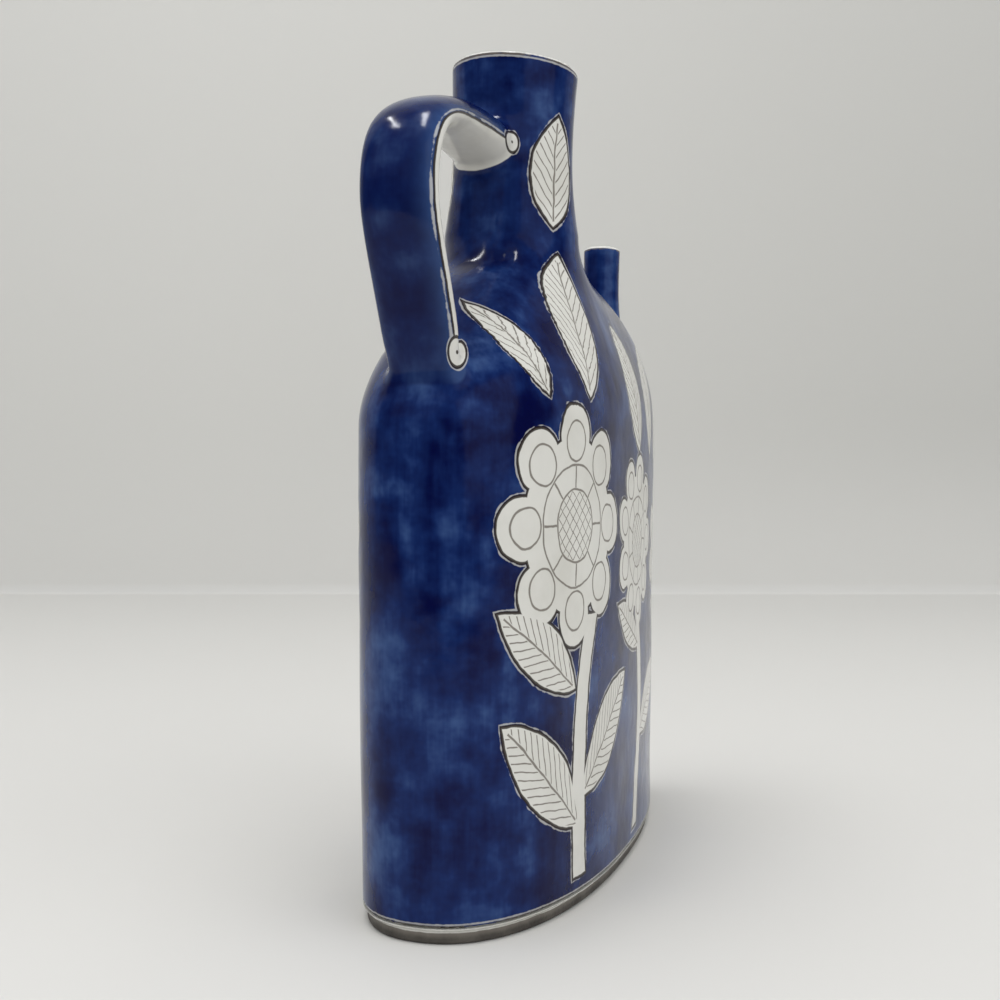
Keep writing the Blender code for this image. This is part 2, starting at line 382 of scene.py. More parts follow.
class Grid:
    """A lofted surface that tells, for any point near it, the distance and where it is."""

    def __init__(self, rings):
        self.rings = rings
        courses, self.steps = rings.shape[:2]
        index = np.arange(courses * self.steps).reshape(courses, self.steps)
        following = np.roll(index, -1, axis=1)
        quads = np.stack((index[:-1], following[:-1], following[1:], index[1:]), axis=-1)
        corners = rings.reshape(-1, 3).tolist()
        self.tree = BVHTree.FromPolygons(corners, quads.reshape(-1, 4).tolist())

    def locate(self, co):
        """For each point: its height over the surface, and its course and step as fractions."""
        found = [self.tree.find_nearest(point) for point in co]
        place = np.array([f[0] for f in found])
        normal = np.array([f[1] for f in found])
        face = np.array([f[2] for f in found])
        away = co - place
        distance = np.linalg.norm(away, axis=1)
        beneath = (np.einsum("ij,ij->i", away, normal) < 0) & (distance < DEEPEST)
        height = np.where(beneath, -distance, distance)
        course, step = face // self.steps, face % self.steps
        corner = self.rings[course, step]
        beside = self.rings[course, (step + 1) % self.steps] - corner
        above = self.rings[course + 1, step] - corner
        inward = place - corner
        across = np.einsum("ij,ij->i", inward, beside) / np.einsum("ij,ij->i", beside, beside)
        up = np.einsum("ij,ij->i", inward, above) / np.einsum("ij,ij->i", above, above)
        return height, course + np.clip(up, 0, 1), step + np.clip(across, 0, 1)

    def sample(self, values, course, step):
        """Values kept per ring point, read at fractional courses and steps."""
        low = np.minimum(course.astype(int), values.shape[0] - 2)
        left = step.astype(int) % self.steps
        right = (left + 1) % self.steps
        up, across = course - low, step - step.astype(int)
        lower = values[low, left] * (1 - across) + values[low, right] * across
        upper = values[low + 1, left] * (1 - across) + values[low + 1, right] * across
        return lower * (1 - up) + upper * up


def relaxed(co, edges, weight, rounds):
    """Points drawn towards the middle of their neighbours, each by its own weight."""
    a, b = edges.T
    count = len(co)
    neighbours = np.bincount(a, minlength=count) + np.bincount(b, minlength=count)
    for _ in range(rounds):
        total = np.empty_like(co)
        for axis in range(3):
            total[:, axis] = np.bincount(a, co[b, axis], count)
            total[:, axis] += np.bincount(b, co[a, axis], count)
        co = co + weight[:, None] * (total / neighbours[:, None] - co)
    return co


def vertex_array(mesh, name="position"):
    values = np.zeros(len(mesh.vertices) * 3)
    mesh.attributes[name].data.foreach_get("vector", values)
    return values.reshape(-1, 3)


def vertex_normals(mesh):
    normals = np.zeros(len(mesh.vertices) * 3)
    mesh.vertex_normals.foreach_get("vector", normals)
    return normals.reshape(-1, 3)


def quad_corners(mesh):
    corners = np.zeros(len(mesh.loops), int)
    mesh.loops.foreach_get("vertex_index", corners)
    return corners.reshape(-1, 4)


def move_points(mesh, co):
    mesh.vertices.foreach_set("co", co.ravel())
    mesh.update()


def wall_arc(turn):
    """The way along the wall from the handle end, the same on the front and on the back."""
    fine = np.linspace(math.pi, 2 * math.pi, ARC_STEPS)
    line = plan(fine, WALL_TOP)
    steps = np.linalg.norm(np.diff(line, axis=0), axis=1)
    arc = np.concatenate(((0,), np.cumsum(steps)))
    folded = np.where(turn < math.pi, 2 * math.pi - turn, turn)
    return np.interp(folded, fine, arc)


def pattern_places(turn, rings):
    """The pattern's two coordinates in millimetres at each ring point: along and up.

    Along is x on the middle of the wall, and the way round the wall and the neck elsewhere.
    """
    folded = np.where(turn < math.pi, 2 * math.pi - turn, turn)
    middle = wall_arc(np.array(1.5 * math.pi))
    at_wall = wall_arc(turn) - middle + plan(np.array(1.5 * math.pi), WALL_TOP)[0]
    at_neck = NECK_OFFSET + NECK_WAIST_RADIUS * (folded - 1.5 * math.pi)
    heights = rings[:, :, 2]
    share = np.clip((heights - WALL_TOP) / SHOULDER_RISE, 0, 1)
    blend = share * share * (3 - 2 * share)
    along = at_wall * (1 - blend) + at_neck * blend
    middle_heights = heights.mean(axis=1, keepdims=True)
    up = np.where(heights > COLLAR_TOP, middle_heights, heights)
    return along / MM, up / MM


def modelled_clay():
    """Wall, shoulder, neck, spout and strap as one clay, with its joints smoothed over."""
    turn = turns(TURN_STEPS)
    outside = outside_rings(turn)
    strap = np.array([strap_ring(share) for share in np.linspace(0, 1, STRAP_STEPS)])
    spout_low, spout_wide = -SPOUT_ROOT_DEPTH, SPOUT_WALL
    spout_outline = tube_outside(spout_radius, spout_low, SPOUT_LENGTH, spout_wide)
    spout_bore = tube_inside(spout_radius, 2 * spout_low, SPOUT_LENGTH, spout_wide)
    spout = on_spout_axis(turned_rings(spout_outline, SPOUT_STEPS))
    bore = on_spout_axis(turned_rings(spout_bore, SPOUT_STEPS))
    hollow = inside_rings(turn)
    clay = lofted("clay", outside)
    others = [
        (lofted("strap", strap), "UNION"),
        (lofted("spout", spout), "UNION"),
        (lofted("hollow", hollow), "DIFFERENCE"),
        (lofted("bore", bore), "DIFFERENCE"),
    ]
    for other, operation in others:
        combine(clay, other, operation)
    remesh = clay.modifiers.new("grain", "REMESH")
    remesh.mode = "VOXEL"
    remesh.voxel_size = CLAY_GRAIN
    mesh = evaluated_mesh(clay)
    for obj in [clay] + [other for other, _ in others]:
        bpy.data.objects.remove(obj)
    return mesh, [Grid(rings) for rings in (outside, strap, spout, hollow, bore)], turn


def smooth_step(low, high, value):
    share = np.clip((value - low) / (high - low), 0, 1)
    return share * share * (3 - 2 * share)


def laid_on(grids, owner, co):
    """Each point moved to the nearest place on the surface that it belongs to."""
    return np.array([grids[i].tree.find_nearest(point)[0] for i, point in zip(owner, co)])


def finish_clay(mesh, grids):
    """Smooths the joints, gives the clay its hand-made unevenness, and keeps the shape."""
    co = vertex_array(mesh)
    edges = np.zeros(len(mesh.edges) * 2, int)
    mesh.edges.foreach_get("vertices", edges)
    edges = edges.reshape(-1, 2)
    away = np.abs([grid.locate(co)[0] for grid in grids])
    strap_joint = np.maximum(away[0], away[1])
    spout_joint = np.maximum(away[0], away[2])
    nearness = np.minimum(strap_joint, spout_joint * SPOUT_FILLET_NARROWING)
    fillet = 1 - smooth_step(FILLET_CORE * FILLET_REACH, FILLET_REACH, nearness)
    wide = 1 - smooth_step(FILLET_CORE * WIDE_FILLET_REACH, WIDE_FILLET_REACH, strap_joint)
    on_top = smooth_step(TOP_FILLET_FROM - WIDE_FILLET_REACH / 2, TOP_FILLET_FROM, co[:, 2])
    at_root = 1 - smooth_step(ROOT_FILLET_TO, ROOT_FILLET_TO + WIDE_FILLET_REACH, co[:, 2])
    wide *= np.maximum(on_top, ROOT_FILLET_SHARE * at_root)
    co = relaxed(co, edges, np.full(len(co), SMOOTHING_PACE), OVERALL_SMOOTHING)
    co = relaxed(co, edges, SMOOTHING_PACE * fillet, FILLET_SMOOTHING)
    co = relaxed(co, edges, SMOOTHING_PACE * wide, WIDE_FILLET_SMOOTHING)
    fillet = np.maximum(fillet, wide)
    hold = (1 - fillet) * (1 - smooth_step(CLAY_GRAIN / 3, CLAY_GRAIN, away.min(axis=0)))
    co += hold[:, None] * (laid_on(grids, away.argmin(axis=0), co) - co)
    move_points(mesh, co)
    normals = vertex_normals(mesh)
    above_foot = smooth_step(BASE_THICKNESS, 5 * BASE_THICKNESS, co[:, 2])
    waves = np.array([noise.noise(Vector(point / UNEVENNESS_SIZE)) for point in co])
    push = UNEVENNESS * waves * above_foot
    for middle, reach, depth in DENTS:
        push -= depth * np.exp(-(((co - middle) / reach) ** 2).sum(axis=1))
    co += normals * push[:, None]
    move_points(mesh, co)
    return co


def lean_rim(mesh, co):
    """The neck's rim, thrown by hand, stands a little higher on its handle side."""
    share = smooth_step(LIP_TOP - RIM_LEAN_HEIGHT, LIP_TOP, co[:, 2])
    rise = math.tan(RIM_LEAN) * (NECK_OFFSET - co[:, 0]) - RIM_SINK
    co[:, 2] += share * rise
    move_points(mesh, co)


def keep_vectors(mesh, name, values):
    attribute = mesh.attributes.new(name, "FLOAT_VECTOR", "POINT")
    attribute.data.foreach_set("vector", np.ascontiguousarray(values, dtype=np.float32).ravel())


def mark_pattern(mesh, co, outside, strap, spout, turn):
    """Keeps on the clay where each point lies in the painted patterns, in millimetres."""
    along, up = pattern_places(turn, outside.rings)
    to_body, course, step = outside.locate(co)
    place = (outside.sample(along, course, step), outside.sample(up, course, step), to_body / MM)
    keep_vectors(mesh, "pattern", np.stack(place, axis=1))
    to_strap, course, step = strap.locate(co)
    outwards = strap_outwards(strap.rings, co, course)
    percent_along = course * (100 / (STRAP_STEPS - 1))
    place = (outwards / MM, percent_along, np.abs(to_strap) / MM)
    keep_vectors(mesh, "strap", np.stack(place, axis=1))
    to_spout, course, step = spout.locate(co)
    drop = spout.sample(drops_below_lip(spout.rings), course, step)
    place = (drop / MM, np.abs(to_spout) / MM, np.zeros(len(co)))
    keep_vectors(mesh, "spout", np.stack(place, axis=1))
    return to_body, to_strap, to_spout


def strap_outwards(rings, co, course):
    """How far each point is outwards from the strap's middle surface."""
    quarter = STRAP_SIDES // 4
    middle = (rings[:, 0] + rings[:, 2 * quarter]) / 2
    out_way = rings[:, quarter] - middle
    out_way /= np.linalg.norm(out_way, axis=1, keepdims=True)
    low = np.minimum(course.astype(int), len(rings) - 2)
    share = (course - low)[:, None]
    middle = middle[low] * (1 - share) + middle[low + 1] * share
    out_way = out_way[low] * (1 - share) + out_way[low + 1] * share
    return np.einsum("ij,ij->i", co - middle, out_way)


def drops_below_lip(rings):
    """How far each ring of the spout is below its top one."""
    middles = rings.mean(axis=1)
    drop = np.linalg.norm(middles - middles[-1], axis=1)
    return np.repeat(drop[:, None], rings.shape[1], axis=1)


def part_of(mesh, name, faces, normals):
    """A piece cut from the clay, shaded as if it were still whole."""
    quads = quad_corners(mesh)[faces]
    used, local = np.unique(quads, return_inverse=True)
    piece = bpy.data.meshes.new(name)
    piece.from_pydata(vertex_array(mesh)[used].tolist(), [], local.reshape(-1, 4).tolist())
    for attribute in ("pattern", "strap", "spout"):
        keep_vectors(piece, attribute, vertex_array(mesh, attribute)[used])
    piece.shade_smooth()
    piece.normals_split_custom_set_from_vertices(normals[used].tolist())
    return in_scene(name, piece)


def glazed_pieces():
    """The clay cut into the wall, shoulder, neck, spout and strap along their seams."""
    mesh, grids, turn = modelled_clay()
    outside, strap, spout = grids[:3]
    co = finish_clay(mesh, grids)
    to_body, to_strap, to_spout = mark_pattern(mesh, co, outside, strap, spout, turn)
    lean_rim(mesh, co)
    normals = vertex_normals(mesh)
    quads = quad_corners(mesh)
    middle = co[quads].mean(axis=1)
    off_body = to_body[quads].mean(axis=1)
    on_strap = off_body > np.abs(to_strap[quads]).mean(axis=1)
    on_spout = off_body > np.abs(to_spout[quads]).mean(axis=1)
    on_spout &= middle[:, 0] > 0
    on_spout |= (middle[:, 0] > 0) & (middle[:, 2] > COLLAR_TOP)
    on_body = ~on_strap & ~on_spout
    shares = {
        "body_wall": on_body & (middle[:, 2] <= WALL_TOP),
        "shoulder": on_body & (middle[:, 2] > WALL_TOP) & (middle[:, 2] <= COLLAR_TOP),
        "main_neck": on_body & (middle[:, 2] > COLLAR_TOP),
        "small_spout": on_spout,
        "handle_strap": on_strap & ~on_spout,
    }
    return {name: part_of(mesh, name + "_glazed", faces, normals) for name, faces in shares.items()}


def foot_slab():
    turn = turns(TURN_STEPS)
    rings = []
    for angle in np.linspace(0, math.pi / 2, EDGE_STEPS + 1):
        inset = BASE_INSET + BASE_EDGE_ROUNDING * (1 - math.sin(angle))
        rings.append(plan(turn, BASE_EDGE_ROUNDING * (1 - math.cos(angle)), inset))
    for share in np.linspace(0, 1, 2 * EDGE_STEPS + 1):
        height = BASE_CLAY_HEIGHT + (BASE_THICKNESS - BASE_CLAY_HEIGHT) * share
        rings.append(plan(turn, height, BASE_INSET * (1 - smooth_step(0, 1, share))))
    obj = lofted("base_slab_clay", np.array(rings))
    obj.data.shade_smooth()
    obj.data.set_sharp_from_angle(angle=SLAB_SHARP_EDGE)
    return obj


class Value:
    """A number in a material's node tree that can be reckoned with like any number."""

    tree = None

    def __init__(self, socket):
        self.socket = socket

    def __add__(self, other):
        return math_node("ADD", self, other)

    def __sub__(self, other):
        return math_node("SUBTRACT", self, other)

    def __rsub__(self, other):
        return math_node("SUBTRACT", other, self)

    def __mul__(self, other):
        return math_node("MULTIPLY", self, other)

    def __truediv__(self, other):
        return math_node("DIVIDE", self, other)

    def __neg__(self):
        return math_node("MULTIPLY", self, -1.0)

    def __abs__(self):
        return math_node("ABSOLUTE", self)

    __radd__ = __add__
    __rmul__ = __mul__


def new_node(kind, **settings):
    node = Value.tree.nodes.new("ShaderNode" + kind)
    for name, value in settings.items():
        setattr(node, name, value)
    return node


def feed(socket, value):
    if isinstance(value, Value):
        Value.tree.links.new(value.socket, socket)
    else:
        socket.default_value = value


def math_node(operation, *values):
    node = new_node("Math", operation=operation)
    for socket, value in zip(node.inputs, values):
        feed(socket, value)
    return Value(node.outputs[0])


def lowest(first, *others):
    for other in others:
        first = math_node("MINIMUM", first, other)
    return first


def highest(first, *others):
    for other in others:
        first = math_node("MAXIMUM", first, other)
    return first


def vector_node(operation, *values):
    node = new_node("VectorMath", operation=operation)
    for socket, value in zip(node.inputs, values):
        feed(socket, value)
    return node


def xyz(x, y, z=0.0):
    node = new_node("CombineXYZ")
    for socket, value in zip(node.inputs, (x, y, z)):
        feed(socket, value)
    return Value(node.outputs[0])


def split(vector):
    node = new_node("SeparateXYZ")
    feed(node.inputs[0], vector)
    return [Value(output) for output in node.outputs]


def length(x, y):
    return Value(vector_node("LENGTH", xyz(x, y)).outputs["Value"])


def ramp(value, low, high):
    """0 below low and 1 above high, with a soft step between."""
    node = new_node("MapRange", interpolation_type="SMOOTHSTEP")
    for socket, number in zip(node.inputs, (value, low, high, 0.0, 1.0)):
        feed(socket, number)
    return Value(node.outputs[0])


def attribute(name):
    return Value(new_node("Attribute", attribute_name=name).outputs["Vector"])


def noise_value(vector, scale, detail=2.0, roughness=0.5, stretch=(1.0, 1.0, 1.0)):
    """Noise about zero, from about -0.5 to 0.5, with lumps of the size 1 / scale."""
    spread = Value(vector_node("MULTIPLY", vector, stretch).outputs["Vector"])
    node = new_node("TexNoise")
    feed(node.inputs["Vector"], spread)
    node.inputs["Scale"].default_value = scale
    node.inputs["Detail"].default_value = detail
    node.inputs["Roughness"].default_value = roughness
    return Value(node.outputs["Fac"]) - 0.5


def mixed(share, first, second):
    node = new_node("Mix", data_type="RGBA")
    feed(node.inputs[0], share)
    for socket, colour in ((node.inputs[6], first), (node.inputs[7], second)):
        if isinstance(colour, Value):
            feed(socket, colour)
        else:
            socket.default_value = (*colour, 1.0)
    return Value(node.outputs[2])


def placed(place, middle, angle=0.0):
    """The pattern's coordinates seen from a middle point, turned by an angle in degrees."""
    node = new_node("Mapping", vector_type="TEXTURE")
    feed(node.inputs["Vector"], place)
    node.inputs["Location"].default_value = (*middle, 0.0)
    node.inputs["Rotation"].default_value = (0.0, 0.0, math.radians(angle))
    return split(Value(node.outputs[0]))[:2]


# The drawing's lines and leaves, in millimetres unless named a share
LINE_HALF_WIDTH = 0.42
LEAF_MARGIN = 1.6
MIDRIB_SHARE = 0.86
MIDRIB_CLEARANCE = 1.2
VEIN_SLANT = 1.3
VEIN_SPACING = 5.0

# The round flowers, as shares of their radius or of a petal's
PETAL_FULLNESS = 0.95
PETAL_RING_REACH = 0.94
PETAL_RING = 0.62
OUTER_RING = 0.50
EYE_RING = 0.30
SPOKE_HALF_LENGTH = 0.08
LATTICE_REACH = 0.28
LATTICE_HALF_SPACING = 2.6
LATTICE_HALF_WIDTH = 0.28

# Stems: middle and radius of their curve, half width, lowest, highest, whether on its left
STEMS = (
    ((150.0, 40.0), 222.0, 5.6, 12.0, 112.0, True),
    ((-110.0, 60.0), 130.0, 4.6, 12.0, 120.0, False),
    ((-30.0, 40.0), 118.0, 4.2, 12.0, 106.0, False),
)

# Leaves: one tip, the other tip and half width
LEAVES = (
    ((-72.0, 32.0), (-119.0, 76.0), 12.5),
    ((-70.0, 42.0), (-14.0, 84.0), 12.5),
    ((-74.0, 84.0), (-121.0, 116.0), 11.0),
    ((-62.0, 194.0), (-46.0, 252.0), 13.0),
    ((-92.0, 194.0), (-98.0, 230.0), 8.0),
    ((-46.0, 262.0), (-42.0, 308.0), 11.0),
    ((16.0, 90.0), (-28.0, 112.0), 8.0),
    ((20.0, 50.0), (72.0, 78.0), 11.0),
    ((14.0, 174.0), (-5.0, 228.0), 14.0),
    ((74.0, 170.0), (86.0, 214.0), 12.0),
    ((48.0, 172.0), (40.0, 226.0), 12.0),
    ((96.0, 24.0), (118.0, 78.0), 9.0),
)

# Round flowers: middle, radius and number of petals
FLOWERS = (
    ((-76.0, 146.0), 46.0, 8),
    ((10.0, 136.0), 38.0, 9),
    ((84.0, 132.0), 31.0, 7),
)


class Drawing:
    """White reserves, given by their distance, and the thin lines drawn on them."""

    def __init__(self, place):
        self.place = place
        self.reserve = None
        self.lines = None

    def add(self, shape):
        self.reserve = shape if self.reserve is None else lowest(self.reserve, shape)

    def line(self, distance, half_width=LINE_HALF_WIDTH):
        """A line where the distance is zero."""
        stroke = abs(distance) - half_width
        self.lines = stroke if self.lines is None else lowest(self.lines, stroke)

    def leaf(self, start, end, half_width):
        """A pointed leaf with a midrib and slanting veins."""
        middle = ((start[0] + end[0]) / 2, (start[1] + end[1]) / 2)
        half = math.dist(start, end) / 2
        angle = math.degrees(math.atan2(end[1] - start[1], end[0] - start[0]))
        along, across = placed(self.place, middle, angle)
        radius = (half**2 + half_width**2) / (2 * half_width)
        beside = abs(across)
        shape = length(along, beside + (radius - half_width)) - radius
        self.add(shape)
        within = shape + LEAF_MARGIN
        self.line(highest(beside, abs(along) - MIDRIB_SHARE * half, within))
        slant = along - beside * VEIN_SLANT
        repeat = abs(math_node("WRAP", slant, VEIN_SPACING / 2, -VEIN_SPACING / 2))
        self.line(highest(repeat, within, MIDRIB_CLEARANCE - beside))

    def flower(self, middle, radius, count):
        """A round flower of many petals about a ringed eye."""
        x, y = placed(self.place, middle)
        out = length(x, y)
        sector = 2 * math.pi / count
        turn = math_node("WRAP", math_node("ARCTAN2", y, x), sector / 2, -sector / 2)
        along = out * math_node("COSINE", turn)
        across = out * math_node("SINE", turn)
        half_chord = math.sin(sector / 2)
        petal_radius = PETAL_FULLNESS * radius * half_chord / (1 + half_chord)
        reach = radius - petal_radius
        petal = length(along - reach, across) - petal_radius
        self.add(lowest(petal, out - reach))
        self.line(length(along - reach * PETAL_RING_REACH, across) - PETAL_RING * petal_radius)
        self.line(out - OUTER_RING * radius)
        self.line(out - EYE_RING * radius)
        spoke_middle = (OUTER_RING + EYE_RING) / 2 * radius
        self.line(highest(abs(across), abs(out - spoke_middle) - SPOKE_HALF_LENGTH * radius))
        self.lattice(x, y, out - LATTICE_REACH * radius)

    def lattice(self, x, y, outside):
        """Crossed thin lines, drawn where outside is below zero."""
        rising = abs(math_node("WRAP", x + y, LATTICE_HALF_SPACING, -LATTICE_HALF_SPACING))
        falling = abs(math_node("WRAP", x - y, LATTICE_HALF_SPACING, -LATTICE_HALF_SPACING))
        self.line(highest(lowest(rising, falling), outside), LATTICE_HALF_WIDTH)

    def stem(self, middle, radius, half_width, low, high, left):
        """A curved stem: part of a ring between two heights, on its left or right side."""
        x, y = placed(self.place, middle)
        band = abs(length(x, y) - radius)
        height = split(self.place)[1]
        side = x if left else -x
        self.add(highest(band - half_width, low - height, height - high, side))


def flowering_stems(place):
    """Flowering stems with leaves that climb from the foot to the neck and the spout."""
    drawing = Drawing(place)
    for stem in STEMS:
        drawing.stem(*stem)
    for leaf in LEAVES:
        drawing.leaf(*leaf)
    for flower in FLOWERS:
        drawing.flower(*flower)
    return drawing


# Glaze colours, as linear light
COBALT_DEEP = (0.0003, 0.0014, 0.036)
COBALT = (0.0062, 0.0220, 0.110)
COBALT_THIN = (0.046, 0.095, 0.236)
WHITE_GLAZE = (0.665, 0.655, 0.610)
WHITE_SHADE = (0.580, 0.568, 0.520)
OUTLINE = (0.022, 0.015, 0.011)
RIM_LINE = (0.125, 0.108, 0.088)
FINE_LINE = (0.110, 0.090, 0.070)
FOOT_CLAY = (0.088, 0.078, 0.064)
FOOT_STAIN = (0.036, 0.030, 0.025)
FOOT_PALE = (0.220, 0.195, 0.165)

# How strongly each kind of brushed line covers what is under it
HALO_STRENGTH = 0.55
FINE_LINE_STRENGTH = 0.80
RIM_LINE_STRENGTH = 0.85
THIN_STRENGTH = 0.5
STRAP_DEEPER = 0.5
OUTLINE_STRENGTH = 0.93

# Gloss
GLAZE_SPECULAR = 0.15
GLAZE_ROUGHNESS = 0.10
GLAZE_BUMP = 0.35
GLAZE_BUMP_DEPTH = 0.0012
CLAY_ROUGHNESS = 0.5
CLAY_BUMP = 0.5
CLAY_BUMP_DEPTH = 0.0004

# Bare foot: the band where the glaze above it thins out, in millimetres
THIN_GLAZE_BAND = 2.4
THIN_GLAZE_STRENGTH = 0.6

# How much further from the handle the design stands on the back
BACK_SHIFT = 6.0

# How far a brushed edge wanders, in millimetres, and how softly it ends
HAND_WANDER = 2.4
EDGE_SOFTNESS = 0.18

# How near a point is to a part to be painted with it
NEAR_BODY = 5.0
NEAR_SPOUT = 2.0
NEAR_STRAP = 1.2

# Half widths of the lines: round the white areas, along the strap, and their pale edges
OUTLINE_HALF_WIDTH = 0.6
STRAP_LINE_HALF_WIDTH = 0.4
HALO_OFFSET = 0.9
HALO_HALF_WIDTH = 0.35
STRAP_HALO_HALF_WIDTH = 0.3

# Bands, as millimetres of height, and below the small spout's lip
LIP_WHITE = 329.0
LIP_LINE = 328.1
LIP_HAIRLINE = 327.4
FOOT_WHITE = 6.5
FOOT_LINE = 7.3
FOOT_HAIRLINE = 7.9
SPOUT_LIP_WHITE = 1.2
SPOUT_LIP_LINE = 1.9

# Where the strap's blue face begins, outwards from its middle: at the neck and lower down
NECK_BLUE_FROM = -2.6
STRAP_BLUE_FROM = 2.0
STRAP_BEND_ZONE = (22.0, 50.0)
BACK_BLUE_WIDER = 1.8
THIN_BESIDE_STRAP = (0.5, 4.5)

# White glaze inside: how deep it begins, and how far the spout's middle is from its outside
BODY_GLAZE_DEPTH = 2.4
SPOUT_REACH = 9.0

# Ovals that end the strap's white edges at the root and at the neck: middle, half sizes
SPOT_EYE = 0.14
ROOT_SPOT_HEIGHT = 208.0
ROOT_SPOT_HALF_SIZES = (0.0030, 0.0052)
NECK_SPOT_HALF_SIZES = (0.0025, 0.0038)
SPOT_HEADING = math.radians(21.0)
SPOT_DEPTH = 0.0160
SPOT_CRISPNESS = 1.7
HANDLE_SPOTS = (
    ((-0.1244, -0.0142, MM * ROOT_SPOT_HEIGHT), ROOT_SPOT_HALF_SIZES),
    ((-0.1230, 0.0168, MM * ROOT_SPOT_HEIGHT), ROOT_SPOT_HALF_SIZES),
    ((-0.0559, -0.0090, 0.2948), NECK_SPOT_HALF_SIZES),
    ((-0.0559, 0.0200, 0.2948), NECK_SPOT_HALF_SIZES),
)


def cobalt(position):
    """Cobalt brushed on by hand: deep where it pooled and thin where the brush dragged."""
    clouds = noise_value(position, 30.0, 2.0, 0.5)
    patches = noise_value(position, 75.0, 3.0, 0.55)
    strokes = noise_value(position, 110.0, 3.0, 0.6, (1.0, 1.0, 0.30))
    cross_strokes = noise_value(position, 62.0, 3.0, 0.6, (0.55, 0.55, 1.3))
    bristles = noise_value(position, 520.0, 2.0, 0.5, (1.0, 1.0, 0.05))
    depth = clouds * 1.1 + patches * 1.0 + strokes * 0.5 + cross_strokes * 0.6 + bristles * 0.16
    colour = mixed(ramp(depth, -0.38, 0.22), COBALT_DEEP, COBALT)
    return mixed(ramp(depth, 0.0, 0.58), colour, COBALT_THIN)


def white_glaze(position):
    return mixed(ramp(noise_value(position, 34.0, 4.0, 0.6), -0.15, 0.3), WHITE_GLAZE, WHITE_SHADE)


def spot(position, middle, half_sizes):
    """The distance from a small upright oval that faces the handle end and the nearer side."""
    node = new_node("Mapping", vector_type="TEXTURE")
    feed(node.inputs["Vector"], position)
    node.inputs["Location"].default_value = middle
    node.inputs["Rotation"].default_value = (0.0, 0.0, math.copysign(SPOT_HEADING, -middle[1]))
    depth, aside, above = split(Value(node.outputs[0]))
    width, height = half_sizes
    oval = (length(aside / width, above / height) - 1.0) * (width / MM)
    return highest(oval * SPOT_CRISPNESS, (abs(depth) - SPOT_DEPTH) / MM)


def band(value, low, high):
    """The distance from a band of values: below zero inside it."""
    return abs(value - (low + high) / 2) - (high - low) / 2


def brushed(distance, strength):
    """How much a brushed mark covers each point, from its distance."""
    return (1.0 - ramp(distance, -EDGE_SOFTNESS, EDGE_SOFTNESS)) * strength


class Surface:
    """Where a point of the glaze is: in space, in the patterns, and how far off each part."""

    def __init__(self):
        self.position = Value(new_node("TexCoord").outputs["Object"])
        self.wobble = noise_value(self.position, 90.0, 2.0)
        self.wobble_up = noise_value(self.position, 70.0, 2.0, stretch=(1.3, 1.1, 0.9))
        self.ragged = noise_value(self.position, 420.0, 3.0)
        self.along, self.up, self.off_body = split(attribute("pattern"))
        self.strap_out, self.strap_way, self.off_strap = split(attribute("strap"))
        self.spout_drop, self.off_spout = split(attribute("spout"))[:2]
        self.side, self.height = split(self.position)[1:]

    def strap_line(self):
        """The distance into the strap's blue face from the line that borders it."""
        further = ramp(self.strap_way, *STRAP_BEND_ZONE) * (STRAP_BLUE_FROM - NECK_BLUE_FROM)
        line = self.strap_out - further - NECK_BLUE_FROM + self.wobble * 0.6
        return line + ramp(self.side, 0.0, 0.5 * STRAP_WIDTH) * BACK_BLUE_WIDER

    def on_strap(self):
        return 1.0 - ramp(self.off_strap, 0.8, 1.6)

    def thin_beside(self, strap_line):
        """How much the cobalt thins out towards the strap's white edge."""
        return (1.0 - ramp(strap_line, *THIN_BESIDE_STRAP)) * self.on_strap() * THIN_STRENGTH

    def plain_white(self):
        """The white of the lips, the foot and the inside."""
        spout_lip = highest(self.spout_drop - SPOUT_LIP_WHITE, self.off_spout - NEAR_SPOUT)
        inside = self.off_body + BODY_GLAZE_DEPTH
        bore = highest(
            BODY_GLAZE_DEPTH - self.off_spout,
            self.off_spout - SPOUT_REACH,
            BODY_GLAZE_DEPTH - self.off_body,
        )
        return lowest(LIP_WHITE - self.up, spout_lip, self.up - FOOT_WHITE, inside, bore)

    def rim_lines(self):
        """The thin dark lines under both lips and over the foot, worn away in places."""
        wandering = self.up + self.wobble * 0.5
        spout_band = band(self.spout_drop + self.wobble * 0.4, SPOUT_LIP_WHITE, SPOUT_LIP_LINE)
        lines = lowest(
            band(wandering, LIP_LINE, LIP_WHITE),
            highest(spout_band, self.off_spout - NEAR_SPOUT),
            band(wandering, FOOT_WHITE, FOOT_LINE),
        )
        return lines + (1.0 - ramp(self.wobble_up + self.ragged * 0.5, -0.26, 0.0)) * 0.5

    def halo(self, outlined, strap_line, strap_end):
        """The pale, uneven edge that the cobalt leaves beside the dark lines."""
        beside_strap = abs(strap_line - HALO_OFFSET) - STRAP_HALO_HALF_WIDTH
        beside_strap = highest(beside_strap, self.off_strap - NEAR_STRAP, strap_end)
        halo = lowest(abs(outlined - HALO_OFFSET) - HALO_HALF_WIDTH, beside_strap)
        halo = halo + 0.5 - ramp(self.wobble + self.ragged * 0.6, -0.25, 0.15) * 0.6
        hairlines = lowest(
            band(self.up, FOOT_LINE, FOOT_HAIRLINE),
            band(self.up, LIP_HAIRLINE, LIP_LINE),
        )
        return lowest(halo, hairlines + self.ragged * 0.6)


